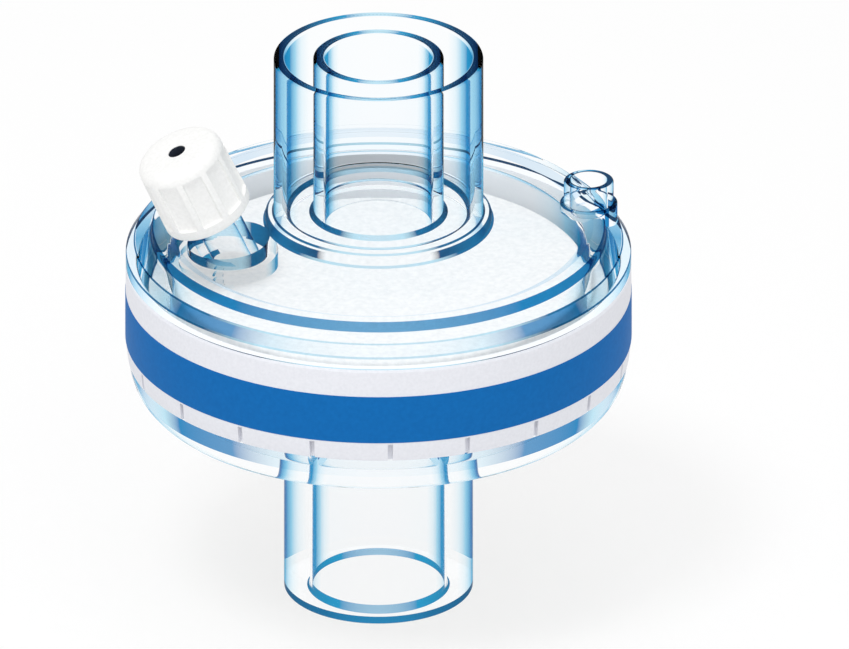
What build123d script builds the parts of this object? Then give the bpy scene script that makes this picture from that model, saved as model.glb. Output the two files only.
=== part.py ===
from build123d import *
import os
from math import cos, radians, sin

os.makedirs("parts", exist_ok=True)

# Whole filter, standing on the rim of its patient port, in millimetres
total_height = 67.9
seam_height = 41.4
wall = 1.8
edge_round = 0.3
seam_chamfer = 0.25

# Patient port: 22 mm male outside, 15 mm female inside
patient_outer_r = 11.0
patient_bore_r = 7.7
patient_root_round = 1.5

# Machine port: 22 mm female outside, 15 mm male inside, both rims level
socket_outer_r = 12.2
socket_bore_r = 10.85
spout_outer_r = 7.6
spout_bore_r = 6.2
socket_floor_height = 48.0
foot_r = 13.2
foot_height = 1.1
foot_round = 0.5
socket_root_round = 0.5

# Round body and the joint inside it
body_r = 29.4
bowl_inset = 0.4
bowl_corner = 5.5
bowl_floor_height = 24.0
bowl_inner_round = 2.0
joint_height = 37.0
joint_wall = 3.2

# Top plate, a shallow cone, with its raised lip and stepped shoulder
plate_height = 47.0
plate_fall = 1.2
lip_height = 0.5
lip_inset = 3.0
lip_width = 1.5
lip_inner_slope = 1.0
lip_round = 0.35
ledge_inset = 1.0
ledge_height = 44.4
cove_height = 45.0
cove_round = 0.5
flange_top = 43.0
flange_round = 0.5
ceiling_bevel = 1.2

# Joining ring with its grip slots
ring_height = 11.7
ring_wall = 1.5
ring_gap = 0.1
skirt_taper = 0.25
slot_count = 20
slot_width = 0.6
slot_depth = 0.7
slot_turn = 2.7

# Coloured band let into the ring
band_low = 32.12
band_width = 5.93
band_depth = 0.3
band_proud = 0.05
band_to_slot = 0.2

# Support ribs under the paper roll
rib_count = 10
rib_turn = 18.0
rib_thickness = 1.2
rib_height = 3.0
rib_inner_r = 9.5
rib_sink = 0.3

# Filter felt, pinched by its rim
felt_gap = 0.3
felt_height = 3.2
felt_rim = 1.6
felt_rim_thickness = 0.8
felt_rim_gap = 0.2
felt_round = 0.5

# Paper roll: one strip wound round a small eye
roll_gap = 0.3
roll_pitch = 1.9
roll_strip = 1.4
roll_eye_r = 1.0

# Sampling port, leaning outwards in its own well
port_inset = 11.7
port_bearing = 189.8
port_lean = 24.9
port_heading = 199.1
port_outer_r = 3.2
port_bore_r = 2.1
port_length = 12.2
well_r = 4.8
well_depth = 2.0
well_shift = -1.5
boss_wall = 1.0
boss_floor = 1.2
port_sink = 3.4

# Screw cap of the sampling port
cap_start = 5.7
cap_length = 9.5
cap_foot_r = 5.3
cap_top_r = 5.15
cap_foot_height = 1.4
cap_shoulder = 1.3
cap_skirt_gap = 0.25
cap_end_gap = 0.4
cap_plug_gap = 0.1
cap_plug_depth = 4.2
cap_dimple_r = 1.05
cap_dimple_depth = 5.0
flute_count = 10
flute_width = 2.5
flute_depth = 0.45
flute_height = 6.6
flute_turn = 11.2

# Parking spigot for the cap, on the lip
spigot_inset = 4.5
spigot_heading = 11.0
spigot_outer_r = 2.9
spigot_bore_r = 2.15
spigot_top = 49.8
spigot_bore_depth = 4.2
spigot_foot_extra = 0.45
spigot_foot_rise = 0.75
spigot_sink = 0.6

# Sizes that follow from the ones above
ring_bottom = seam_height - ring_height
ring_inner_r = body_r - ring_wall
joint_outer_r = ring_inner_r - ring_gap
cavity_r = joint_outer_r - joint_wall
bowl_r = body_r - bowl_inset
lip_outer_r = body_r - lip_inset
ledge_r = body_r - ledge_inset
plate_low = plate_height - plate_fall
lip_top = plate_low + lip_height
bowl_floor_top = bowl_floor_height + wall
roll_seat = bowl_floor_top + rib_height
felt_rim_r = cavity_r + felt_rim
felt_pocket_r = felt_rim_r + felt_rim_gap
felt_r = cavity_r - felt_gap
roll_r = cavity_r - roll_gap
roll_turns = int((roll_r - roll_eye_r) / roll_pitch) - 1
well_floor = plate_height - plate_fall / 2 - well_depth
boss_bottom = well_floor - boss_floor
cap_bore_r = port_outer_r + cap_skirt_gap
cap_plug_r = port_bore_r - cap_plug_gap
cap_roof = port_length + cap_end_gap
cap_plug_end = cap_roof - cap_plug_depth
cap_end = cap_start + cap_length
flute_low = cap_start + cap_foot_height
spigot_root = cove_height - spigot_sink
port_side = Vector(
    cos(radians(port_lean)) * -cos(radians(port_heading)),
    cos(radians(port_lean)) * -sin(radians(port_heading)),
    sin(radians(port_lean)),
)
port_dir = Vector(
    sin(radians(port_lean)) * cos(radians(port_heading)),
    sin(radians(port_lean)) * sin(radians(port_heading)),
    cos(radians(port_lean)),
)
port_x = (body_r - port_inset) * cos(radians(port_bearing))
port_y = (body_r - port_inset) * sin(radians(port_bearing))
port_foot = Vector(port_x, port_y, well_floor)
port_plane = Plane(origin=port_foot, x_dir=port_side, z_dir=port_dir)
port_section = Plane(
    origin=port_foot, x_dir=port_side, z_dir=port_side.cross(port_dir)
)
port_axis = Axis(port_foot, port_dir)
spigot_distance = body_r - spigot_inset
spigot_x = spigot_distance * cos(radians(spigot_heading))
spigot_y = spigot_distance * sin(radians(spigot_heading))


def rims(shape, radius, height):
    """The circular edges round the main axis at one radius and height."""
    found = [
        edge
        for edge in shape.edges().filter_by(GeomType.CIRCLE)
        if abs(edge.radius - radius) < 1e-4 and abs(edge.arc_center.Z - height) < 1e-4
        and abs(edge.arc_center.X) + abs(edge.arc_center.Y) < 1e-4
    ]
    return ShapeList(found)


# Upper housing: one clear moulding, turned profile first
with BuildPart() as upper_housing:
    with BuildSketch(Plane.XZ):
        with BuildLine():
            Polyline(
                (joint_outer_r, seam_height),
                (body_r - seam_chamfer, seam_height),
                (body_r, seam_height + seam_chamfer),
                (body_r, flange_top),
                (ledge_r, ledge_height),
                (lip_outer_r, cove_height),
                (lip_outer_r, lip_top),
                (lip_outer_r - lip_width, lip_top),
                (lip_outer_r - lip_width - lip_inner_slope, plate_low),
                (foot_r, plate_height),
                (foot_r, plate_height + foot_height),
                (socket_outer_r, plate_height + foot_height),
                (socket_outer_r, total_height),
                (socket_bore_r, total_height),
                (socket_bore_r, socket_floor_height),
                (spout_outer_r, socket_floor_height),
                (spout_outer_r, total_height),
                (spout_bore_r, total_height),
                (spout_bore_r, socket_floor_height - wall),
                (socket_bore_r, socket_floor_height - wall),
                (socket_outer_r, plate_height - wall),
                (cavity_r - ceiling_bevel, plate_low - wall),
                (cavity_r, plate_low - wall - ceiling_bevel),
                (cavity_r, joint_height + felt_rim_thickness),
                (felt_pocket_r, joint_height + felt_rim_thickness),
                (felt_pocket_r, joint_height),
                (joint_outer_r, joint_height),
                close=True,
            )
        make_face()
    revolve(axis=Axis.Z)
    fillet(rims(upper_housing, body_r, flange_top), flange_round)
    fillet(rims(upper_housing, lip_outer_r, cove_height), cove_round)
    fillet(rims(upper_housing, lip_outer_r, lip_top), lip_round)
    fillet(rims(upper_housing, lip_outer_r - lip_width, lip_top), lip_round)
    fillet(rims(upper_housing, foot_r, plate_height + foot_height), foot_round)
    for rim_r in (socket_outer_r, socket_bore_r, spout_outer_r, spout_bore_r):
        fillet(rims(upper_housing, rim_r, total_height), edge_round)
    for root_r in (socket_bore_r, spout_outer_r):
        fillet(rims(upper_housing, root_r, socket_floor_height), socket_root_round)

    # Boss under the plate and the well sunk into it
    with BuildSketch(Plane.XY.offset(boss_bottom)):
        with Locations((port_x, port_y + well_shift)):
            Circle(well_r + boss_wall)
    extrude(amount=well_floor - boss_bottom + boss_wall)
    with BuildSketch(Plane.XY.offset(well_floor)):
        with Locations((port_x, port_y + well_shift)):
            Circle(well_r)
    extrude(amount=2 * well_depth, mode=Mode.SUBTRACT)

    # Leaning port, trimmed flush under the boss, with its bore right through
    with BuildSketch(port_plane.offset(-port_sink)):
        Circle(port_outer_r)
    extrude(amount=port_sink + port_length)
    with BuildSketch(Plane.XY.offset(boss_bottom)):
        with Locations((port_x, port_y + well_shift)):
            Circle(well_r + boss_wall)
    extrude(amount=-port_sink, mode=Mode.SUBTRACT)
    with BuildSketch(port_plane.offset(port_length)):
        Circle(port_bore_r)
    extrude(amount=-(port_length + 2 * port_sink), mode=Mode.SUBTRACT)

    # Parking spigot on the lip, with a ring at its foot and a blind bore
    with BuildSketch(Plane.XY.offset(spigot_root)):
        with Locations((spigot_x, spigot_y)):
            Circle(spigot_outer_r + spigot_foot_extra)
    extrude(amount=lip_top + spigot_foot_rise - spigot_root)
    with BuildSketch(Plane.XY.offset(spigot_root)):
        with Locations((spigot_x, spigot_y)):
            Circle(spigot_outer_r)
    extrude(amount=spigot_top - spigot_root)
    with BuildSketch(Plane.XY.offset(spigot_top)):
        with Locations((spigot_x, spigot_y)):
            Circle(spigot_bore_r)
    extrude(amount=-spigot_bore_depth, mode=Mode.SUBTRACT)
upper_housing.part.label = "upper_housing"
export_step(upper_housing.part, "parts/upper_housing.step")


# Lower housing: one clear moulding, bowl and patient port
with BuildPart() as lower_housing:
    with BuildSketch(Plane.XZ):
        with BuildLine():
            Polyline(
                (patient_bore_r, 0),
                (patient_outer_r, 0),
                (patient_outer_r, bowl_floor_height),
                (bowl_r, bowl_floor_height),
                (bowl_r, ring_bottom),
                (joint_outer_r, ring_bottom),
                (joint_outer_r, joint_height),
                (cavity_r, joint_height),
                (cavity_r, bowl_floor_top),
                (patient_bore_r, bowl_floor_top),
                close=True,
            )
        make_face()
    revolve(axis=Axis.Z)
    fillet(rims(lower_housing, bowl_r, bowl_floor_height), bowl_corner)
    fillet(rims(lower_housing, patient_outer_r, bowl_floor_height), patient_root_round)
    fillet(rims(lower_housing, cavity_r, bowl_floor_top), bowl_inner_round)
    fillet(rims(lower_housing, patient_bore_r, bowl_floor_top), edge_round)
    for rim_r in (patient_outer_r, patient_bore_r):
        fillet(rims(lower_housing, rim_r, 0), edge_round)

    # Radial ribs that carry the roll clear of the floor
    rib_length = cavity_r + rib_sink - rib_inner_r
    with BuildSketch(Plane.XY.offset(bowl_floor_top - rib_sink)):
        with PolarLocations(rib_inner_r + rib_length / 2, rib_count, start_angle=rib_turn - 90):
            Rectangle(rib_length, rib_thickness)
    extrude(amount=rib_height + rib_sink)
lower_housing.part.label = "lower_housing"
export_step(lower_housing.part, "parts/lower_housing.step")


# Joining ring: white band that holds the two housings together
with BuildPart() as joining_ring:
    with BuildSketch(Plane.XZ):
        with BuildLine():
            Polyline(
                (ring_inner_r, ring_bottom),
                (body_r - skirt_taper, ring_bottom),
                (body_r, band_low - band_to_slot),
                (body_r, band_low),
                (body_r - band_depth, band_low),
                (body_r - band_depth, band_low + band_width),
                (body_r, band_low + band_width),
                (body_r, seam_height - seam_chamfer),
                (body_r - seam_chamfer, seam_height),
                (ring_inner_r, seam_height),
                close=True,
            )
        make_face()
    revolve(axis=Axis.Z)

    # Grip slots round the skirt, open at the bottom
    slot_height = band_low - band_to_slot - ring_bottom
    with BuildSketch(Plane.XY.offset(ring_bottom)):
        with PolarLocations(body_r, slot_count, start_angle=slot_turn - 90):
            Rectangle(2 * slot_depth, slot_width)
    extrude(amount=slot_height, mode=Mode.SUBTRACT)
joining_ring.part.label = "joining_ring"
export_step(joining_ring.part, "parts/joining_ring.step")


# Coloured band, let into the groove of the ring
with BuildPart() as colour_band:
    with BuildSketch(Plane.XY.offset(band_low)):
        Circle(body_r + band_proud)
        Circle(body_r - band_depth, mode=Mode.SUBTRACT)
    extrude(amount=band_width)
colour_band.part.label = "colour_band"
export_step(colour_band.part, "parts/colour_band.step")


# Filter felt: thick disc with a thin rim pinched between the housings
with BuildPart() as filter_felt:
    with BuildSketch(Plane.XY.offset(joint_height)):
        Circle(felt_rim_r)
    extrude(amount=felt_rim_thickness)
    with BuildSketch(Plane.XY.offset(joint_height)):
        Circle(felt_r)
    extrude(amount=felt_height)
    fillet(rims(filter_felt, felt_r, joint_height + felt_height), felt_round)
filter_felt.part.label = "filter_felt"
export_step(filter_felt.part, "parts/filter_felt.step")


def winding(start_r, turns):
    """A wire of half circles whose radius grows by half a pitch each time."""
    step = roll_pitch / 2
    x, radius, side = start_r, start_r, 1
    for _ in range(2 * turns):
        end = x - side * 2 * radius
        CenterArc((x - side * radius, 0), radius, 0 if side > 0 else 180, 180)
        x, radius, side = end, radius + step / 2, -side
    return x


# Paper roll: corrugated strip wound from a small eye to the wall
with BuildPart() as paper_roll:
    with BuildSketch(Plane.XY.offset(roll_seat)):
        Circle(roll_r)
        with BuildSketch(mode=Mode.SUBTRACT):
            with BuildLine():
                Line((roll_eye_r, 0), (roll_eye_r + roll_pitch - roll_strip, 0))
                inner_end = winding(roll_eye_r, roll_turns)
                outer_end = winding(roll_eye_r + roll_pitch - roll_strip, roll_turns)
                Line((inner_end, 0), (outer_end, 0))
            make_face()
    extrude(amount=joint_height - roll_seat)
paper_roll.part.label = "paper_roll"
export_step(paper_roll.part, "parts/paper_roll.step")


# Screw cap of the sampling port, turned about the leaning axis
with BuildPart(port_plane.offset(flute_low)) as luer_cap:
    with BuildSketch(port_section):
        with BuildLine():
            Polyline(
                (cap_top_r, cap_end - cap_shoulder),
                (cap_foot_r, cap_start + cap_foot_height),
                (cap_foot_r, cap_start),
                (cap_bore_r, cap_start),
                (cap_bore_r, cap_roof),
                (cap_plug_r, cap_roof),
                (cap_plug_r, cap_plug_end),
                (0, cap_plug_end),
                (0, cap_end - cap_dimple_depth),
                (cap_dimple_r, cap_end - cap_dimple_depth),
                (cap_dimple_r, cap_end),
                (cap_top_r - cap_shoulder, cap_end),
            )
            CenterArc((cap_top_r - cap_shoulder, cap_end - cap_shoulder), cap_shoulder, 0, 90)
        make_face()
    revolve(axis=port_axis)
    with PolarLocations(cap_foot_r, flute_count, start_angle=flute_turn):
        Box(
            2 * flute_depth + cap_foot_r - cap_top_r,
            flute_width,
            flute_height,
            align=(Align.CENTER, Align.CENTER, Align.MIN),
            mode=Mode.SUBTRACT,
        )
luer_cap.part.label = "luer_cap"
export_step(luer_cap.part, "parts/luer_cap.step")
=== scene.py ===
# %% [markdown]
# A breathing filter is a clear plastic drum with a tube above and a tube below.
# This lesson dresses its measured model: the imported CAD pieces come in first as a
# fixed frame, and every finer piece is then built in the same place and at the same size.

# %% Load the frame
from math import cos, hypot, pi, radians, sin

import bpy
from mathutils import Matrix, Vector


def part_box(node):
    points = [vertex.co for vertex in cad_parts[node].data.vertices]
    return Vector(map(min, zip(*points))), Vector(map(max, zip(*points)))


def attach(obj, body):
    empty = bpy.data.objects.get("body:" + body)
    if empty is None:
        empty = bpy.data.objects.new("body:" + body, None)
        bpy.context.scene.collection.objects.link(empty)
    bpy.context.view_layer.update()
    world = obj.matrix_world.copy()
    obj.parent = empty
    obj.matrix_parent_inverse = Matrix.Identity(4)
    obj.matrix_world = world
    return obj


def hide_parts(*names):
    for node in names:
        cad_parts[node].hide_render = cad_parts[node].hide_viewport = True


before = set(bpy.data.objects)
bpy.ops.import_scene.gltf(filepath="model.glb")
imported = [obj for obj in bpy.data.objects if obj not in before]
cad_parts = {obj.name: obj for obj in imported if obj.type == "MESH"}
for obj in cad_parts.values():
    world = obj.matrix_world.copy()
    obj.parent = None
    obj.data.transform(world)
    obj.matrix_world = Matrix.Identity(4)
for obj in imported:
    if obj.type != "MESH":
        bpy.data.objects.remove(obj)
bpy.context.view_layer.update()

# %% [markdown]
# The sizes are kept in millimetres, as on the drawing, and turned into metres only
# where a point is placed. The heights and radii that the frame knows are read from it,
# so that these pieces follow the CAD model.

# %% Sizes
MM = 0.001
BODY = "filter_body"
CAP_BODY = "cap"


def in_mm(corner):
    """A corner of a box, in millimetres."""
    return [value / MM for value in corner]


upper_low, upper_high = (in_mm(c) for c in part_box("upper_housing"))
_, lower_high = (in_mm(c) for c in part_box("lower_housing"))
ring_low, ring_high = (in_mm(c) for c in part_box("joining_ring"))
band_low, band_high = (in_mm(c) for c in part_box("colour_band"))
_, felt_high = (in_mm(c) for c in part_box("filter_felt"))
roll_low, roll_high = (in_mm(c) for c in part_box("paper_roll"))

total_height = upper_high[2]
seam = ring_high[2]
body_r = ring_high[0]
bowl_r = lower_high[0]
joint = upper_low[2]
ring_bottom = ring_low[2]
print("body radius", round(body_r, 2), "seam at", round(seam, 2),
      "top at", round(total_height, 2))

# %% [markdown]
# The shot comes first. The picture is drawn with parallel uprights and flat ellipses,
# so an orthographic camera fits it: 8.6 pixels stand for each millimetre, and the
# camera looks down at 25.5 degrees. The object's axis is left of the picture's middle.

# %% Camera
PIXELS_PER_MM = 8.6
FRAME_WIDTH, FRAME_HEIGHT = 849, 649
AXIS_PX, SEAM_PX = 378.5, 262.4
LOOK_DOWN = radians(25.5)

scene = bpy.context.scene
right_shift = (FRAME_WIDTH / 2 - AXIS_PX) / PIXELS_PER_MM
up_shift = (SEAM_PX - FRAME_HEIGHT / 2) / PIXELS_PER_MM
up = Vector((0, sin(LOOK_DOWN), cos(LOOK_DOWN)))
forward = Vector((0, cos(LOOK_DOWN), -sin(LOOK_DOWN)))
aim = Vector((right_shift, 0, seam)) + up * up_shift
bpy.ops.object.camera_add(location=(aim - forward * 400) * MM, rotation=(pi / 2 - LOOK_DOWN, 0, 0))
camera = bpy.context.object
camera.data.type = "ORTHO"
camera.data.ortho_scale = FRAME_WIDTH / PIXELS_PER_MM * MM
camera.data.clip_end = 5
scene.camera = camera
scene.view_settings.view_transform = "Standard"
print("picture is", round(camera.data.ortho_scale, 4), "m wide")

# %% [markdown]
# Most of these mouldings are turned shapes, so one helper turns an outline about the
# upright axis: a vertex is extruded from corner to corner, and the loop is spun. The
# corners that a mould leaves round are arcs in the outline itself.

# %% Turning an outline
TURN_STEPS = 160
WELD = 1e-7


def deselect():
    """Leave edit mode and select nothing."""
    if bpy.context.object and bpy.context.object.mode != "OBJECT":
        bpy.ops.object.mode_set(mode="OBJECT")
    bpy.ops.object.select_all(action="DESELECT")


def pick(piece):
    """Make one piece the only selected and active one."""
    deselect()
    piece.select_set(True)
    bpy.context.view_layer.objects.active = piece


def rounded(corners, steps=5):
    """An outline in millimetres from corners (x, z) or (x, z, radius), going round once."""
    points = []
    for i, corner in enumerate(corners):
        here = Vector(corner[:2])
        if len(corner) < 3:
            points.append(here)
            continue
        before = (Vector(corners[i - 1][:2]) - here).normalized()
        after = (Vector(corners[(i + 1) % len(corners)][:2]) - here).normalized()
        half = before.angle(after) / 2
        centre = here + (before + after).normalized() * corner[2] / sin(half)
        start = here + before * corner[2] / (sin(half) / cos(half)) - centre
        end = here + after * corner[2] / (sin(half) / cos(half)) - centre
        sweep = start.angle_signed(end)
        for k in range(steps + 1):
            turn_by = -sweep * k / steps
            points.append(centre + Vector((
                start.x * cos(turn_by) - start.y * sin(turn_by),
                start.x * sin(turn_by) + start.y * cos(turn_by),
            )))
    return points


def turn(name, corners, steps=TURN_STEPS, arc_steps=5):
    """A closed outline (x, z) in millimetres, spun about the upright axis."""
    points = rounded(corners, arc_steps)
    deselect()
    bpy.ops.mesh.primitive_plane_add(size=MM)
    piece = bpy.context.object
    piece.name = piece.data.name = name
    bpy.ops.object.mode_set(mode="EDIT")
    bpy.ops.mesh.merge(type="CENTER")
    bpy.ops.transform.translate(value=(points[0].x * MM, 0, points[0].y * MM))
    for start, end in zip(points, points[1:] + points[:1]):
        step = (end - start) * MM
        bpy.ops.mesh.extrude_region_move(TRANSFORM_OT_translate={"value": (step.x, 0, step.y)})
    bpy.ops.mesh.select_all(action="SELECT")
    bpy.ops.mesh.remove_doubles(threshold=WELD)
    bpy.ops.mesh.spin(steps=steps, angle=2 * pi, center=(0, 0, 0), axis=(0, 0, 1))
    bpy.ops.mesh.select_all(action="SELECT")
    bpy.ops.mesh.remove_doubles(threshold=WELD)
    bpy.ops.mesh.normals_make_consistent(inside=False)
    bpy.ops.object.mode_set(mode="OBJECT")
    return piece


def carve(piece, tool, operation="DIFFERENCE"):
    """Cut a tool from a piece, or add it on, and delete the tool."""
    cut = piece.modifiers.new(operation.title(), "BOOLEAN")
    cut.operation = operation
    cut.object = tool
    cut.solver = "EXACT"
    pick(piece)
    bpy.ops.object.modifier_apply(modifier=cut.name)
    bpy.data.objects.remove(tool)
    return piece


def settle(piece, matrix=Matrix.Identity(4)):
    """Put a piece in place in its own mesh and leave its object at the origin."""
    pick(piece)
    piece.matrix_world = matrix @ piece.matrix_world
    bpy.ops.object.transform_apply(location=True, rotation=True, scale=True)
    return piece


def finish_piece(piece, body, node, sharp=35):
    """Smooth a piece up to its sharp edges, hide the CAD part it stands for, and attach it to its
    body.
    """
    pick(piece)
    bpy.ops.object.shade_smooth_by_angle(angle=radians(sharp))
    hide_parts(node)
    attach(piece, body)
    print(piece.name, "has", len(piece.data.polygons), "faces")
    return piece


# %% [markdown]
# The upper housing is one clear moulding. Its outline runs from the seam over the
# stepped shoulder and the raised lip, across the flat plate, up the outer tube, down
# into the ring-shaped socket and up the inner tube, and back underneath.

# %% Upper housing outline
WALL = 1.8
PLATE = seam + 5.6
PLATE_LOW = PLATE - 1.2
LIP_TOP = PLATE_LOW + 0.5
LIP_R = body_r - 3.0
SOCKET_R, SOCKET_BORE = 12.2, 10.85
SPOUT_R, SPOUT_BORE = 7.6, 6.2
SOCKET_FLOOR = seam + 6.6
FOOT_R = 13.2
CAVITY_R = 24.6
JOINT_R = CAVITY_R + 3.2
RIM_ROUND = 0.3
SEAM_CHAMFER = 0.25
PARTING = 0.03
FOOT_TOP = PLATE + 1.1
FLANGE_TOP, LEDGE_TOP, COVE_TOP = seam + 1.6, seam + 3.0, seam + 3.6
FELT_RIM = joint + 0.8

upper_outline = [
    (JOINT_R, seam),
    (body_r - SEAM_CHAMFER, seam),
    (body_r, seam + SEAM_CHAMFER),
    (body_r, FLANGE_TOP, 0.5),
    (body_r - 1.0, LEDGE_TOP, 0.4),
    (LIP_R, COVE_TOP, 0.5),
    (LIP_R, LIP_TOP, 0.45),
    (LIP_R - 1.5, LIP_TOP, 0.45),
    (LIP_R - 2.5, PLATE_LOW, 0.6),
    (FOOT_R, PLATE, 0.25),
    (FOOT_R, FOOT_TOP, 0.5),
    (SOCKET_R, FOOT_TOP, 0.2),
    (SOCKET_R, total_height, RIM_ROUND),
    (SOCKET_BORE, total_height, RIM_ROUND),
    (SOCKET_BORE, SOCKET_FLOOR, 0.5),
    (SPOUT_R, SOCKET_FLOOR, 0.5),
    (SPOUT_R, total_height, RIM_ROUND),
    (SPOUT_BORE, total_height, RIM_ROUND),
    (SPOUT_BORE, SOCKET_FLOOR - WALL, RIM_ROUND),
    (SOCKET_BORE, SOCKET_FLOOR - WALL, 0.8),
    (SOCKET_R, PLATE - WALL, 0.8),
    (CAVITY_R - 1.2, PLATE_LOW - WALL, 0.8),
    (CAVITY_R, PLATE_LOW - WALL - 1.2, 0.8),
    (CAVITY_R, FELT_RIM),
    (CAVITY_R + 1.8, FELT_RIM),
    (CAVITY_R + 1.8, joint),
    (JOINT_R, joint),
]
upper = turn("upper_shell", upper_outline)

# %% [markdown]
# The sampling port leans outwards in a round well. It is built upright at the origin
# and tilted into place, and a boss under the plate carries it. The well, the port, its
# bore and the parking spigot are joined by booleans, so that the clear plastic stays
# one closed body and light bends through it as through the real moulding.

# %% Sampling port and parking spigot
PORT_DISTANCE, PORT_BEARING = body_r - 11.7, radians(189.8)
PORT_X, PORT_Y = PORT_DISTANCE * cos(PORT_BEARING), PORT_DISTANCE * sin(PORT_BEARING)
PORT_LEAN, PORT_HEADING = radians(24.9), radians(199.1)
PORT_R, PORT_BORE, PORT_LENGTH, PORT_SINK = 3.2, 2.1, 12.2, 3.4
WELL_R, WELL_FLOOR, WELL_SHIFT = 4.8, PLATE - 2.6, -1.5
BOSS_R, BOSS_BOTTOM = WELL_R + 1.0, WELL_FLOOR - 1.2
SPIGOT_DISTANCE, SPIGOT_HEADING = 24.9, radians(11.0)
SPIGOT_R, SPIGOT_BORE = 2.9, 2.15
COLLAR_R, COLLAR_TOP = SPIGOT_R + 0.45, LIP_TOP + 0.75
SPIGOT_TOP, SPIGOT_FLOOR, SPIGOT_ROOT = seam + 8.4, seam + 4.2, seam + 3.0

port_dir = Vector((
    sin(PORT_LEAN) * cos(PORT_HEADING), sin(PORT_LEAN) * sin(PORT_HEADING), cos(PORT_LEAN),
))
port_foot = Vector((PORT_X, PORT_Y, WELL_FLOOR))
port_side = Vector((
    -cos(PORT_LEAN) * cos(PORT_HEADING), -cos(PORT_LEAN) * sin(PORT_HEADING), sin(PORT_LEAN),
))
port_turn = Matrix((port_side, port_dir.cross(port_side), port_dir)).transposed().to_4x4()
port_place = Matrix.Translation(port_foot * MM) @ port_turn
well_place = Matrix.Translation(Vector((PORT_X, PORT_Y + WELL_SHIFT, 0)) * MM)
spigot_place = Matrix.Translation(Vector((
    SPIGOT_DISTANCE * cos(SPIGOT_HEADING), SPIGOT_DISTANCE * sin(SPIGOT_HEADING), 0,
)) * MM)


def plug(name, corners, place, steps=64):
    """A turned solid whose outline starts and ends on the axis."""
    return settle(turn(name, corners, steps), place)


def drum(name, radius, low, high, place, steps=64):
    """A plain round tool from low to high, to cut with or to join on."""
    return plug(name, [(0, low), (radius, low), (radius, high), (0, high)], place, steps)


carve(upper, drum("boss", BOSS_R, BOSS_BOTTOM, WELL_FLOOR + 1.0, well_place), "UNION")
carve(upper, plug("well", [
    (0, WELL_FLOOR), (WELL_R, WELL_FLOOR, 0.5), (WELL_R, PLATE + 1), (0, PLATE + 1),
], well_place))
carve(upper, plug("port", [
    (0, -PORT_SINK), (PORT_R, -PORT_SINK), (PORT_R, PORT_LENGTH, 0.3), (0, PORT_LENGTH),
], port_place), "UNION")
carve(upper, drum("under_boss", BOSS_R, BOSS_BOTTOM - 2.6, BOSS_BOTTOM, well_place))
carve(upper, drum("port_bore", PORT_BORE, -2 * PORT_SINK, PORT_LENGTH + 1, port_place))
carve(upper, plug("spigot", [
    (0, SPIGOT_ROOT), (COLLAR_R, SPIGOT_ROOT), (COLLAR_R, COLLAR_TOP, 0.2),
    (SPIGOT_R, COLLAR_TOP), (SPIGOT_R, SPIGOT_TOP, 0.25), (0, SPIGOT_TOP),
], spigot_place), "UNION")
carve(upper, plug("spigot_bore", [
    (0, SPIGOT_FLOOR), (SPIGOT_BORE, SPIGOT_FLOOR, 0.4), (SPIGOT_BORE, SPIGOT_TOP + 1),
    (0, SPIGOT_TOP + 1),
], spigot_place))
finish_piece(upper, BODY, "upper_housing")

# %% [markdown]
# The lower housing is the second clear moulding: a shallow bowl with round corners and
# the patient tube under it. Radial ribs on its floor hold the paper roll clear, and
# show through the bowl as faint V marks.

# %% Lower housing
PATIENT_R, PATIENT_BORE = 11.0, 7.7
BOWL_FLOOR = 24.0
FLOOR_TOP = BOWL_FLOOR + WALL
RIM_BAND = 1.0
RIB_COUNT, RIB_TURN, RIB_THICK = 10, radians(18.0 - 90), 1.2
RIB_INNER, RIB_TOP, RIB_SINK = 9.5, roll_low[2], 0.3

lower = turn("lower_shell", [
    (PATIENT_BORE, RIM_BAND),
    (PATIENT_BORE, 0, RIM_ROUND),
    (PATIENT_R, 0, RIM_ROUND),
    (PATIENT_R, RIM_BAND),
    (PATIENT_R, BOWL_FLOOR, 1.5),
    (bowl_r, BOWL_FLOOR, 5.5),
    (bowl_r, ring_bottom),
    (JOINT_R, ring_bottom),
    (JOINT_R, joint - PARTING),
    (CAVITY_R, joint - PARTING),
    (CAVITY_R, FLOOR_TOP, 2.0),
    (PATIENT_BORE, FLOOR_TOP, RIM_ROUND),
], arc_steps=8)

for k in range(RIB_COUNT):
    deselect()
    bpy.ops.mesh.primitive_cube_add(size=1)
    rib = bpy.context.object
    rib_length = CAVITY_R + RIB_SINK - RIB_INNER
    rib_high = RIB_TOP - FLOOR_TOP + RIB_SINK
    rib.scale = Vector((rib_length, RIB_THICK, rib_high)) * MM
    rib.location = Vector((RIB_INNER + rib_length / 2, 0, RIB_TOP - rib_high / 2)) * MM
    bpy.context.view_layer.update()
    settle(rib, Matrix.Rotation(RIB_TURN + 2 * pi * k / RIB_COUNT, 4, "Z"))
    bpy.ops.object.mode_set(mode="EDIT")
    bpy.ops.mesh.select_all(action="SELECT")
    bpy.ops.mesh.bevel(offset=0.2 * MM, segments=2)
    bpy.ops.object.mode_set(mode="OBJECT")
    carve(lower, rib, "UNION")
finish_piece(lower, BODY, "lower_housing")

# %% [markdown]
# The white ring holds the housings together. It carries the blue band in a shallow
# groove, and twenty short slots in its skirt give a grip. The slots are cut with one
# tool that is modelled once and copied round.

# %% Joining ring
BAND_DEPTH = 0.3
SLOT_COUNT, SLOT_TURN, SLOT_WIDTH, SLOT_DEPTH = 20, radians(2.7 - 90), 0.6, 0.7
SLOT_TOP = band_low[2] - 0.2

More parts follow.
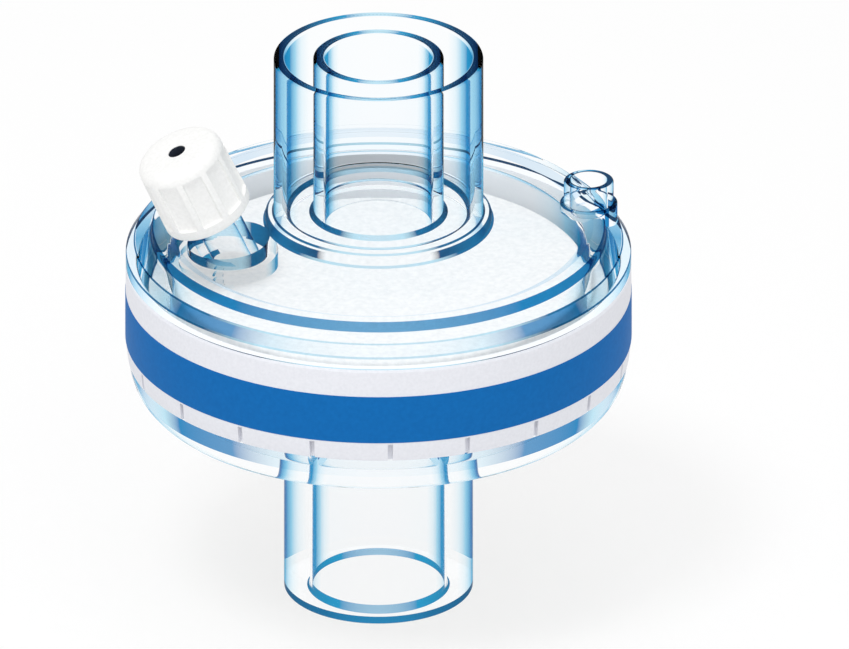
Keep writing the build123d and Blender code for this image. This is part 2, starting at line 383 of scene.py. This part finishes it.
ring = turn("white_ring", [
    (JOINT_R + 0.1, ring_bottom),
    (body_r - 0.25, ring_bottom, 0.2),
    (body_r, SLOT_TOP, 0.3),
    (body_r, band_low[2]),
    (body_r - BAND_DEPTH, band_low[2]),
    (body_r - BAND_DEPTH, band_high[2]),
    (body_r, band_high[2]),
    (body_r, seam - SEAM_CHAMFER, 0.1),
    (body_r - SEAM_CHAMFER, seam - PARTING),
    (JOINT_R + 0.1, seam - PARTING),
])
for k in range(SLOT_COUNT):
    deselect()
    bpy.ops.mesh.primitive_cube_add(size=1)
    slot_tool = bpy.context.object
    slot_tool.scale = Vector((2 * SLOT_DEPTH, SLOT_WIDTH, SLOT_TOP - ring_bottom + 1)) * MM
    slot_tool.location = Vector((body_r, 0, (SLOT_TOP + ring_bottom - 1) / 2)) * MM
    bpy.context.view_layer.update()
    settle(slot_tool, Matrix.Rotation(SLOT_TURN + 2 * pi * k / SLOT_COUNT, 4, "Z"))
    carve(ring, slot_tool)
finish_piece(ring, BODY, "joining_ring", sharp=30)

band = turn("blue_stripe", [
    (body_r - BAND_DEPTH, band_low[2]),
    (band_high[0], band_low[2], 0.04),
    (band_high[0], band_high[2], 0.04),
    (body_r - BAND_DEPTH, band_high[2]),
])
finish_piece(band, BODY, "colour_band")

# %% [markdown]
# Inside lie the filter felt and the wound paper. The felt is a thick white disc whose
# rim is pinched between the housings. The paper is a strip of flat and fluted paper,
# wound into a roll, so its end shows a spiral of small waves.

# %% Felt and paper roll
felt = turn("felt_disc", [
    (0, joint + PARTING), (felt_high[0], joint + PARTING),
    (felt_high[0], FELT_RIM - PARTING, 0.2), (CAVITY_R - 0.3, FELT_RIM - PARTING, 0.2),
    (CAVITY_R - 0.3, felt_high[2], 0.6), (0, felt_high[2]),
])
finish_piece(felt, BODY, "filter_felt")

ROLL_R = roll_high[0]
ROLL_PITCH = 1.9
FLUTE_WAVE = 1.9
FLUTE_HEIGHT = 0.62
EYE_R = 1.2
PAPER = 0.16
STEPS_PER_WAVE = 8


def spiral_strip(name, wave_height, wave_length, offset, step_mm):
    """A strip of paper on edge, wound outwards, with waves along its length."""
    outline, angle, run = [], 0.0, 0.0
    while True:
        radius = EYE_R + offset + ROLL_PITCH * angle / (2 * pi)
        if radius > ROLL_R - PAPER - wave_height - 0.05:
            break
        ripple = wave_height * sin(2 * pi * run / wave_length) if wave_height else 0
        outline.append(((radius + ripple) * cos(angle), (radius + ripple) * sin(angle)))
        run += step_mm
        angle += step_mm / radius
    low, high = roll_low[2] + 0.02, roll_high[2] - 0.02
    mesh = bpy.data.meshes.new(name)
    count = len(outline)
    vertices = [(x * MM, y * MM, low * MM) for x, y in outline]
    vertices += [(x * MM, y * MM, high * MM) for x, y in outline]
    faces = [(i, i + 1, count + i + 1, count + i) for i in range(count - 1)]
    mesh.from_pydata(vertices, [], faces)
    piece = bpy.data.objects.new(name, mesh)
    scene.collection.objects.link(piece)
    thick = piece.modifiers.new("Paper", "SOLIDIFY")
    thick.thickness = PAPER * MM
    thick.offset = 0
    pick(piece)
    bpy.ops.object.modifier_apply(modifier=thick.name)
    return piece


fluted = spiral_strip("fluted_paper", FLUTE_HEIGHT, FLUTE_WAVE, 0.0, FLUTE_WAVE / STEPS_PER_WAVE)
flat = spiral_strip("flat_paper", 0.0, 1.0, ROLL_PITCH / 2, 0.6)
pick(flat)
fluted.select_set(True)
bpy.context.view_layer.objects.active = fluted
bpy.ops.object.join()
paper = finish_piece(fluted, BODY, "paper_roll", sharp=60)

# %% [markdown]
# The cap is a white moulding that leans with its port. It is turned upright, its ten
# flutes are cut by one rounded tool copied round, its edges are softened by a bevel,
# and then the whole cap is tilted into place.

# %% Cap
CAP_LOW, CAP_HIGH = 5.7, 15.2
CAP_FOOT_R, CAP_TOP_R = 5.3, 5.15
CAP_FOOT_TOP = CAP_LOW + 1.4
CAP_BORE, CAP_ROOF, PLUG_R = PORT_R + 0.25, PORT_LENGTH + 0.4, PORT_BORE - 0.1
PLUG_LOW = CAP_ROOF - 4.2
DIMPLE_R, DIMPLE_FLOOR = 1.05, CAP_HIGH - 5.0
CAP_FLUTES, FLUTE_WIDE, FLUTE_DEEP, FLUTE_TALL = 10, 2.5, 0.45, 6.6
FLUTE_TURN = radians(11.2)

cap = turn("screw_cap", [
    (0, PLUG_LOW),
    (PLUG_R, PLUG_LOW, 0.3),
    (PLUG_R, CAP_ROOF),
    (CAP_BORE, CAP_ROOF),
    (CAP_BORE, CAP_LOW, 0.2),
    (CAP_FOOT_R, CAP_LOW, 0.5),
    (CAP_FOOT_R, CAP_FOOT_TOP, 0.3),
    (CAP_TOP_R, CAP_HIGH, 1.3),
    (DIMPLE_R, CAP_HIGH, 0.12),
    (DIMPLE_R, DIMPLE_FLOOR, 0.3),
    (0, DIMPLE_FLOOR),
], steps=96)
for k in range(CAP_FLUTES):
    deselect()
    bpy.ops.mesh.primitive_cube_add(size=1)
    flute = bpy.context.object
    flute.scale = Vector((2.0, FLUTE_WIDE, FLUTE_TALL)) * MM
    flute.location = Vector((CAP_FOOT_R - FLUTE_DEEP + 0.93, 0, CAP_FOOT_TOP + FLUTE_TALL / 2)) * MM
    bpy.context.view_layer.update()
    settle(flute, Matrix.Rotation(FLUTE_TURN + 2 * pi * k / CAP_FLUTES, 4, "Z"))
    bpy.ops.object.mode_set(mode="EDIT")
    bpy.ops.mesh.select_all(action="SELECT")
    bpy.ops.mesh.bevel(offset=0.25 * MM, segments=3)
    bpy.ops.object.mode_set(mode="OBJECT")
    carve(cap, flute)
soften = cap.modifiers.new("Soften", "BEVEL")
soften.width = 0.09 * MM
soften.segments = 2
soften.limit_method = "ANGLE"
soften.angle_limit = radians(40)
pick(cap)
bpy.ops.object.modifier_apply(modifier=soften.name)
settle(cap, port_place)
finish_piece(cap, CAP_BODY, "luer_cap", sharp=45)

# %% [markdown]
# The clear plastic is drawn pale where it faces you and deep blue where it turns away.
# The blue is partly the longer path through a blue-tinted styrene and partly painted edge
# shade, so its tint follows the angle of view through a Layer Weight node. Rims, roots,
# coves, shoulders, ledges and slopes get deeper ramps: painted shade, and on the rims
# partly the long path down the tinted wall as well.
# Its refractive index is far below that of styrene, so that the walls hardly bend what
# lies behind them, as in the picture.

# %% Materials
def new_material(name):
    """An empty node material: its node tree, its Principled shader and its output."""
    material = bpy.data.materials.new(name)
    material.use_nodes = True
    tree = material.node_tree
    shader = tree.nodes["Principled BSDF"]
    return material, tree, shader, tree.nodes["Material Output"]


def dress(piece, material):
    """Give a piece one material."""
    piece.data.materials.clear()
    piece.data.materials.append(material)


def ramp_node(tree, stops):
    """A colour ramp with its stops as (place, colour)."""
    ramp = tree.nodes.new("ShaderNodeValToRGB")
    while len(ramp.color_ramp.elements) < len(stops):
        ramp.color_ramp.elements.new(0.5)
    for element, (place, colour) in zip(ramp.color_ramp.elements, stops):
        element.position = place
        element.color = (*colour, 1)
    return ramp


def maths(tree, operation, first, second):
    """A maths node fed by a socket and by a socket or a number."""
    node = tree.nodes.new("ShaderNodeMath")
    node.operation = operation
    tree.links.new(first, node.inputs[0])
    if isinstance(second, (int, float)):
        node.inputs[1].default_value = second
    else:
        tree.links.new(second, node.inputs[1])
    return node.outputs[0]


def blend(tree, share, first, second):
    """A colour between two, by a share."""
    node = tree.nodes.new("ShaderNodeMix")
    node.data_type = "RGBA"
    tree.links.new(share, node.inputs[0])
    tree.links.new(first, node.inputs[6])
    tree.links.new(second, node.inputs[7])
    return node.outputs[2]


def clear_plastic(name, outside, inside, level, tilt=0.5, leaving=True):
    """A clear blue plastic. Its walls are tinted by how far they turn sideways, with one
    ramp for outer and one for inner faces, and its level faces have a tint of their own.
    Tilt adds the true angle of view, and leaving keeps the tint where light comes out."""
    # The ramps read below paint the deep blue at turned-away walls: partly the plastic's tint,
    # partly painted edge shade.
    material, tree, shader, output = new_material(name)
    shape = tree.nodes.new("ShaderNodeNewGeometry")
    place = tree.nodes.new("ShaderNodeTexCoord")
    flat = tree.nodes.new("ShaderNodeVectorMath")
    flat.operation = "MULTIPLY"
    flat.inputs[1].default_value = (1, 1, 0)
    tree.links.new(place.outputs["Object"], flat.inputs[0])
    from_axis = tree.nodes.new("ShaderNodeVectorMath")
    from_axis.operation = "NORMALIZE"
    tree.links.new(flat.outputs[0], from_axis.inputs[0])
    lean = tree.nodes.new("ShaderNodeVectorMath")
    lean.operation = "MULTIPLY_ADD"
    lean.inputs[1].default_value = (0.03, 0.03, 0)
    tree.links.new(from_axis.outputs[0], lean.inputs[0])
    tree.links.new(shape.outputs["Normal"], lean.inputs[2])
    upright = tree.nodes.new("ShaderNodeVectorMath")
    upright.operation = "MULTIPLY"
    upright.inputs[1].default_value = (1, 1, 0)
    tree.links.new(lean.outputs[0], upright.inputs[0])
    unit = tree.nodes.new("ShaderNodeVectorMath")
    unit.operation = "NORMALIZE"
    tree.links.new(upright.outputs[0], unit.inputs[0])
    sideways = tree.nodes.new("ShaderNodeLayerWeight")
    sideways.inputs["Blend"].default_value = 0.5
    tree.links.new(unit.outputs[0], sideways.inputs["Normal"])
    away = tree.nodes.new("ShaderNodeLayerWeight")
    away.inputs["Blend"].default_value = 0.5
    turned = tree.nodes.new("ShaderNodeMix")
    turned.inputs[0].default_value = tilt
    tree.links.new(sideways.outputs["Facing"], turned.inputs[2])
    tree.links.new(away.outputs["Facing"], turned.inputs[3])
    outer_tint, inner_tint = ramp_node(tree, outside), ramp_node(tree, inside)
    tree.links.new(turned.outputs[0], outer_tint.inputs["Fac"])
    tree.links.new(turned.outputs[0], inner_tint.inputs["Fac"])
    outwards = tree.nodes.new("ShaderNodeVectorMath")
    outwards.operation = "DOT_PRODUCT"
    tree.links.new(place.outputs["Object"], outwards.inputs[0])
    tree.links.new(place.outputs["Normal"], outwards.inputs[1])
    is_outer = maths(tree, "GREATER_THAN", outwards.outputs["Value"], 0.0)
    wall_tint = blend(tree, is_outer, inner_tint.outputs["Color"], outer_tint.outputs["Color"])

    level_tint = ramp_node(tree, level)
    tree.links.new(turned.outputs[0], level_tint.inputs["Fac"])
    parts = tree.nodes.new("ShaderNodeSeparateXYZ")
    tree.links.new(place.outputs["Normal"], parts.inputs[0])
    steepness = tree.nodes.new("ShaderNodeMapRange")
    steepness.inputs["From Min"].default_value = 0.80
    steepness.inputs["From Max"].default_value = 0.97
    tree.links.new(maths(tree, "ABSOLUTE", parts.outputs[2], 0.0), steepness.inputs["Value"])
    tint = blend(tree, steepness.outputs["Result"], wall_tint, level_tint.outputs["Color"])
    if not leaving:
        untinted = tree.nodes.new("ShaderNodeRGB")
        untinted.outputs[0].default_value = (1, 1, 1, 1)
        tint = blend(tree, shape.outputs["Backfacing"], tint, untinted.outputs[0])
    tree.links.new(tint, shader.inputs["Base Color"])
    shader.inputs["Transmission Weight"].default_value = 1.0
    shader.inputs["Roughness"].default_value = 0.02
    shader.inputs["IOR"].default_value = PLASTIC_IOR
    ray = tree.nodes.new("ShaderNodeLightPath")
    lighting = tree.nodes.new("ShaderNodeMath")
    lighting.operation = "MAXIMUM"
    let_through = tree.nodes.new("ShaderNodeBsdfTransparent")
    let_through.inputs["Color"].default_value = (0.985, 0.995, 1.0, 1)
    mix = tree.nodes.new("ShaderNodeMixShader")
    tree.links.new(ray.outputs["Is Shadow Ray"], lighting.inputs[0])
    tree.links.new(ray.outputs["Is Diffuse Ray"], lighting.inputs[1])
    tree.links.new(lighting.outputs[0], mix.inputs["Fac"])
    tree.links.new(shader.outputs[0], mix.inputs[1])
    tree.links.new(let_through.outputs[0], mix.inputs[2])
    tree.links.new(mix.outputs[0], output.inputs["Surface"])
    return material


PLASTIC_IOR = 1.03
WHITE, PALE, SKY = (0.99, 0.995, 1.0), (0.70, 0.86, 0.95), (0.30, 0.64, 0.84)
CYAN, DEEP, NAVY = (0.001, 0.12, 0.38), (0.0005, 0.03, 0.13), (0.0003, 0.004, 0.02)
# Both wall ramps deepen to navy at turned-away walls: partly the plastic's tint, partly painted
# edge shade.
clear = clear_plastic("clear_blue_plastic", outside=[
    (0.0, WHITE), (0.50, (0.97, 0.99, 1.0)), (0.62, (0.70, 0.88, 0.96)),
    (0.74, (0.26, 0.60, 0.84)), (0.84, (0.005, 0.18, 0.46)), (1.0, NAVY),
], inside=[
    (0.0, WHITE), (0.38, (0.97, 0.99, 1.0)), (0.48, (0.68, 0.86, 0.95)),
    (0.58, (0.16, 0.50, 0.76)), (0.70, CYAN), (1.0, (0.001, 0.09, 0.30)),
], level=[
    (0.0, WHITE), (0.7, WHITE), (1.0, (0.85, 0.93, 0.98)),
])


def line_plastic(name, tints, leaving=True):
    """The same plastic with one ramp for every face: for rims, roots and shoulders."""
    return clear_plastic(name, tints, tints, tints, 0.0, leaving)


# Tube rims: navy that is partly the long path down the tinted wall and partly painted shade.
rim = line_plastic("painted_shade_rim", [
    (0.0, PALE), (0.10, SKY), (0.15, CYAN), (0.26, DEEP), (0.4, NAVY),
])
# Port and spigot walls: partly the plastic's tint, partly painted edge shade where they turn away.
tube = line_plastic("small_tube_tint_and_edge_shade", [
    (0.0, WHITE), (0.35, WHITE), (0.55, PALE), (0.72, SKY), (0.86, CYAN), (1.0, DEEP),
])
# Roots of the tubes, well and spigot: painted shade in the inner corners.
root = line_plastic("painted_shade_root", [
    (0.0, (0.52, 0.72, 0.86)), (0.16, SKY), (0.26, DEEP), (1.0, NAVY),
])
# Step edges of the flange, shoulder and foot: painted shade lines.
edge = line_plastic("painted_shade_step_edge", [
    (0.0, (0.42, 0.58, 0.72)), (0.2, SKY), (0.35, DEEP),
], leaving=False)
seam_line = line_plastic("blue_seam_line", [
    (0.0, (0.25, 0.38, 0.50)), (0.12, SKY), (0.2, NAVY),
])
# Foot ring round the outer tube: a painted shade band, dark below a pale untinted strip.
foot_ring = line_plastic("painted_shade_foot_ring", [
    (0.0, WHITE), (0.20, WHITE), (0.24, (0.0005, 0.010, 0.05)), (0.5, DEEP), (1.0, NAVY),
], leaving=False)
# Outer and inner edges of the patient tube's foot: painted shade.
patient_rim = line_plastic("painted_shade_patient_rim", [
    (0.0, (0.001, 0.08, 0.30)), (0.25, DEEP), (1.0, NAVY),
], leaving=False)
patient_edge = line_plastic("painted_shade_patient_edge", [
    (0.0, (0.20, 0.46, 0.68)), (0.25, CYAN), (1.0, DEEP),
])
# Cove under the lip: painted shade in the inner corner.
cove = line_plastic("painted_shade_cove", [
    (0.0, (0.05, 0.22, 0.47)), (0.12, (0.02, 0.14, 0.38)), (0.3, (0.0005, 0.06, 0.28)),
    (1.0, DEEP),
], leaving=False)
# Shoulders of both housings: painted shade bands.
shoulder = line_plastic("painted_shade_shoulder", [
    (0.0, WHITE), (0.10, (0.92, 0.97, 1.0)), (0.18, (0.60, 0.80, 0.92)),
    (0.27, (0.02, 0.12, 0.36)), (0.46, (0.001, 0.07, 0.30)), (0.54, SKY), (0.7, PALE),
], leaving=False)
# Level ledge before the lip: painted shade that deepens towards grazing view.
ledge = line_plastic("painted_shade_ledge", [
    (0.0, WHITE), (0.45, WHITE), (0.65, PALE), (0.85, (0.10, 0.36, 0.62)),
    (1.0, (0.02, 0.18, 0.44)),
], leaving=False)
# Inner slope of the lip: painted shade, blue-grey all round.
slope = line_plastic("painted_shade_slope", [
    (0.0, (0.88, 0.94, 0.98)), (0.3, (0.50, 0.68, 0.86)), (1.0, PALE),
])


def tint_faces(piece, material, wanted, place=Matrix.Identity(4)):
    """Give a second material to the faces whose middle, as radius and height about an
    upright axis or about the axis of a place, is wanted."""
    if material.name not in piece.data.materials:
        piece.data.materials.append(material)
    slot = piece.data.materials.find(material.name)
    back = place.inverted()
    count = 0
    for face in piece.data.polygons:
        x, y, z = (value / MM for value in back @ face.center)
        if wanted(hypot(x, y), z, back.to_3x3() @ face.normal):
            face.material_index = slot
            count += 1
    print(piece.name, "has", count, "faces of", material.name)


# Each line names a tint and the faces that get it, by radius, height and normal: painted
# shade on rims, roots, coves, shoulders, edges, ledges and the lip's slope, the dark seam
# line, and the small tubes' tint. Later lines win where two want the same face. About an
# axis of its own, it names the axis.
UPRIGHT = Matrix.Identity(4)
SHOULDER_IN = body_r - 1.3
upper_tints = [
    (rim, UPRIGHT, lambda r, z, n: z > total_height - 0.06 and n.z > 0.9),
    (cove, UPRIGHT, lambda r, z, n: abs(r - LIP_R) < 0.5
     and seam + 3.65 < z < LIP_TOP - 0.1),
    (shoulder, UPRIGHT, lambda r, z, n: r > SHOULDER_IN and seam + 1.5 < z < seam + 3.1),
    (slope, UPRIGHT, lambda r, z, n: LIP_R - 2.6 < r < LIP_R - 1.4
     and z > PLATE_LOW - 0.1 and n.z > 0.3),
    (foot_ring, UPRIGHT, lambda r, z, n: SOCKET_R + 0.4 < r < FOOT_R + 0.2
     and z > PLATE + 0.05 and n.z < 0.9 and z < PLATE + 1.2),
    (root, UPRIGHT, lambda r, z, n: SOCKET_R < r < SOCKET_R + 0.3
     and PLATE + 1.0 < z < PLATE + 1.4),
    (root, UPRIGHT, lambda r, z, n: SPOUT_BORE < r < SOCKET_BORE
     and SOCKET_FLOOR < z < SOCKET_FLOOR + 0.45
     and (r < SPOUT_R + 0.45 or r > SOCKET_BORE - 0.45)),
    (edge, UPRIGHT, lambda r, z, n: r > body_r - 0.2 and seam + 1.5 < z < seam + 1.75),
    (edge, UPRIGHT, lambda r, z, n: r > SHOULDER_IN
     and seam + 2.85 < z < seam + 3.1 and n.z < 0.9),
    (ledge, UPRIGHT, lambda r, z, n: LIP_R + 0.45 < r < body_r - 1.2
     and z > seam + 3.1 and n.z > 0.9),
    (edge, UPRIGHT, lambda r, z, n: FOOT_R < r < FOOT_R + 0.3
     and PLATE - 0.05 < z < PLATE + 0.2),
    (seam_line, UPRIGHT, lambda r, z, n: r > body_r - 0.3 and z < seam + 0.3),
    (root, well_place, lambda r, z, n: abs(r - WELL_R) < 0.35
     and z > WELL_FLOOR + 0.1 and n.z < 0.95),
    (tube, port_place, lambda r, z, n: r < PORT_R + 0.1 and -1 < z),
    (tube, spigot_place, lambda r, z, n: r < SPIGOT_R + 0.6 and z > LIP_TOP + 0.02),
    (rim, port_place, lambda r, z, n: PORT_BORE < r < PORT_R and z > PORT_LENGTH - 0.05),
    (rim, spigot_place, lambda r, z, n: r < SPIGOT_R and z > SPIGOT_TOP - 0.05),
    (root, spigot_place, lambda r, z, n: SPIGOT_R < r < SPIGOT_R + 0.6
     and LIP_TOP + 0.5 < z < LIP_TOP + 0.8),
]
# Painted shade on the patient tube's foot edges and on the bowl's shoulder.
lower_tints = [
    (patient_rim, UPRIGHT, lambda r, z, n: z < RIM_BAND and r > PATIENT_R - 0.4),
    (patient_edge, UPRIGHT, lambda r, z, n: z < RIM_BAND and r < PATIENT_BORE + 0.4),
    (shoulder, UPRIGHT, lambda r, z, n: r > bowl_r - 1.2
     and BOWL_FLOOR + 3.0 < z < ring_bottom),
]
for housing, tints in ((upper, upper_tints), (lower, lower_tints)):
    dress(housing, clear)
    for tint, place, wanted in tints:
        tint_faces(housing, tint, wanted, place)

# %% Fine grain, used by every matt piece
def grain_group():
    """A node group: fine mottling of a surface, as a mask and as a height."""
    group = bpy.data.node_groups.new("fine_grain", "ShaderNodeTree")
    group.interface.new_socket("Scale", in_out="INPUT", socket_type="NodeSocketFloat")
    group.interface.new_socket("Mask", in_out="OUTPUT", socket_type="NodeSocketFloat")
    place = group.nodes.new("ShaderNodeTexCoord")
    start = group.nodes.new("NodeGroupInput")
    end = group.nodes.new("NodeGroupOutput")
    noise = group.nodes.new("ShaderNodeTexNoise")
    noise.inputs["Detail"].default_value = 4
    group.links.new(place.outputs["Object"], noise.inputs["Vector"])
    group.links.new(start.outputs["Scale"], noise.inputs["Scale"])
    group.links.new(noise.outputs["Fac"], end.inputs["Mask"])
    return group


GRAIN = grain_group()


def matt(name, dark, light, roughness, scale, bump, distance, shine=0.5):
    """A matt finish: two close colours mottled by grain, with a fine bump."""
    material, tree, shader, output = new_material(name)
    grain = tree.nodes.new("ShaderNodeGroup")
    grain.node_tree = GRAIN
    grain.inputs["Scale"].default_value = scale
    colour = ramp_node(tree, [(0.3, dark), (0.7, light)])
    raise_it = tree.nodes.new("ShaderNodeBump")
    raise_it.inputs["Strength"].default_value = bump
    raise_it.inputs["Distance"].default_value = distance
    tree.links.new(grain.outputs["Mask"], colour.inputs["Fac"])
    tree.links.new(colour.outputs["Color"], shader.inputs["Base Color"])
    tree.links.new(grain.outputs["Mask"], raise_it.inputs["Height"])
    tree.links.new(raise_it.outputs["Normal"], shader.inputs["Normal"])
    shader.inputs["Roughness"].default_value = roughness
    shader.inputs["Specular IOR Level"].default_value = shine
    return material


dress(ring, matt("white_moulding", (0.74, 0.75, 0.80), (0.79, 0.80, 0.85),
                 0.55, 2500, 0.06, 0.00004))
# The ring's inner faces and top get a lighter copy of its white: painted light that lifts the shade
# they lie in behind the clear plastic.
painted_light_ring_inside = matt("painted_light_ring_inside", (0.96, 0.97, 0.99), (0.98, 0.98, 1.0),
                    0.7, 2500, 0.05, 0.00004, shine=0.1)
tint_faces(ring, painted_light_ring_inside, lambda r, z, n: r < JOINT_R + 0.3 or z > seam - 0.05)
dress(band, matt("blue_film", (0.002, 0.125, 0.40), (0.003, 0.14, 0.44),
                 0.6, 1800, 0.05, 0.00003, shine=0.1))
dress(felt, matt("white_felt", (0.86, 0.87, 0.88), (0.96, 0.96, 0.96),
                 0.95, 1600, 0.6, 0.0002))
dress(paper, matt("wound_paper", (0.84, 0.82, 0.76), (0.93, 0.92, 0.88),
                  0.9, 1200, 0.3, 0.0001))
dress(cap, matt("white_cap_moulding", (0.86, 0.86, 0.85), (0.92, 0.92, 0.91),
                0.5, 2500, 0.12, 0.00005))
shaded_hole = matt("shaded_hole", (0.01, 0.02, 0.04), (0.02, 0.03, 0.05),
                   0.9, 2500, 0.1, 0.00005)
tint_faces(cap, shaded_hole, lambda r, z, n: r < DIMPLE_R + 0.02
           and PLUG_LOW + 0.1 < z < CAP_HIGH - 0.2, port_place)

# %% [markdown]
# The stage is a white floor that still takes a soft shadow, a white world, and two soft
# lamps. The floor glows a little towards the camera, and a little more through the clear
# plastic. The world lights matt pieces at three quarters of what the camera sees.

# %% Stage and light
FLOOR_GLOW, THROUGH_PLASTIC = 0.7, 0.15
MATT_WORLD = 0.75

deselect()
bpy.ops.mesh.primitive_plane_add(size=4, location=(0, 0, 0))
floor = bpy.context.object
floor.name = "floor"
paper_white, tree, shader, output = new_material("floor_white")
shader.inputs["Base Color"].default_value = (1, 1, 1, 1)
shader.inputs["Roughness"].default_value = 1.0
shader.inputs["Specular IOR Level"].default_value = 0.0
glow = tree.nodes.new("ShaderNodeEmission")
glow.inputs["Strength"].default_value = 1.0
mix = tree.nodes.new("ShaderNodeMixShader")
ray = tree.nodes.new("ShaderNodeLightPath")
seen = tree.nodes.new("ShaderNodeMath")
seen.operation = "MAXIMUM"
share = tree.nodes.new("ShaderNodeMath")
share.operation = "MULTIPLY"
share.inputs[1].default_value = FLOOR_GLOW
bent = tree.nodes.new("ShaderNodeMath")
bent.operation = "MAXIMUM"
tree.links.new(ray.outputs["Is Transmission Ray"], bent.inputs[0])
tree.links.new(ray.outputs["Is Glossy Ray"], bent.inputs[1])
tree.links.new(ray.outputs["Is Camera Ray"], seen.inputs[0])
tree.links.new(bent.outputs[0], seen.inputs[1])
brighter = tree.nodes.new("ShaderNodeMath")
brighter.operation = "MULTIPLY_ADD"
brighter.inputs[1].default_value = THROUGH_PLASTIC
tree.links.new(bent.outputs[0], brighter.inputs[0])
tree.links.new(share.outputs[0], brighter.inputs[2])
tree.links.new(seen.outputs[0], share.inputs[0])
tree.links.new(brighter.outputs[0], mix.inputs["Fac"])
tree.links.new(shader.outputs[0], mix.inputs[1])
tree.links.new(glow.outputs[0], mix.inputs[2])
tree.links.new(mix.outputs[0], output.inputs["Surface"])
dress(floor, paper_white)

world = bpy.data.worlds.new("white_world")
scene.world = world
world.use_nodes = True
tree = world.node_tree
sky = tree.nodes["Background"]
sky.inputs["Color"].default_value = (1, 1, 1, 1)
ray = tree.nodes.new("ShaderNodeLightPath")
lights_matt = tree.nodes.new("ShaderNodeMath")
lights_matt.operation = "MULTIPLY_ADD"
lights_matt.inputs[1].default_value = MATT_WORLD - 1.0
lights_matt.inputs[2].default_value = 1.0
tree.links.new(ray.outputs["Is Diffuse Ray"], lights_matt.inputs[0])
tree.links.new(lights_matt.outputs[0], sky.inputs["Strength"])


def lamp(name, heading, height, distance, size, power):
    """A square area lamp that faces the object, in degrees and metres."""
    a, e = radians(heading), radians(height)
    place = Vector((cos(e) * cos(a), cos(e) * sin(a), sin(e))) * distance
    bpy.ops.object.light_add(type="AREA", location=place + Vector((0, 0, seam * MM)))
    light = bpy.context.object
    light.name = name
    light.data.size = size
    light.data.energy = power
    light.rotation_euler = (-place).to_track_quat("-Z", "Y").to_euler()
    return light


lamp("key", 236, 62, 0.6, 0.16, 1.15)
lamp("fill", 300, 35, 0.7, 0.5, 0.5)
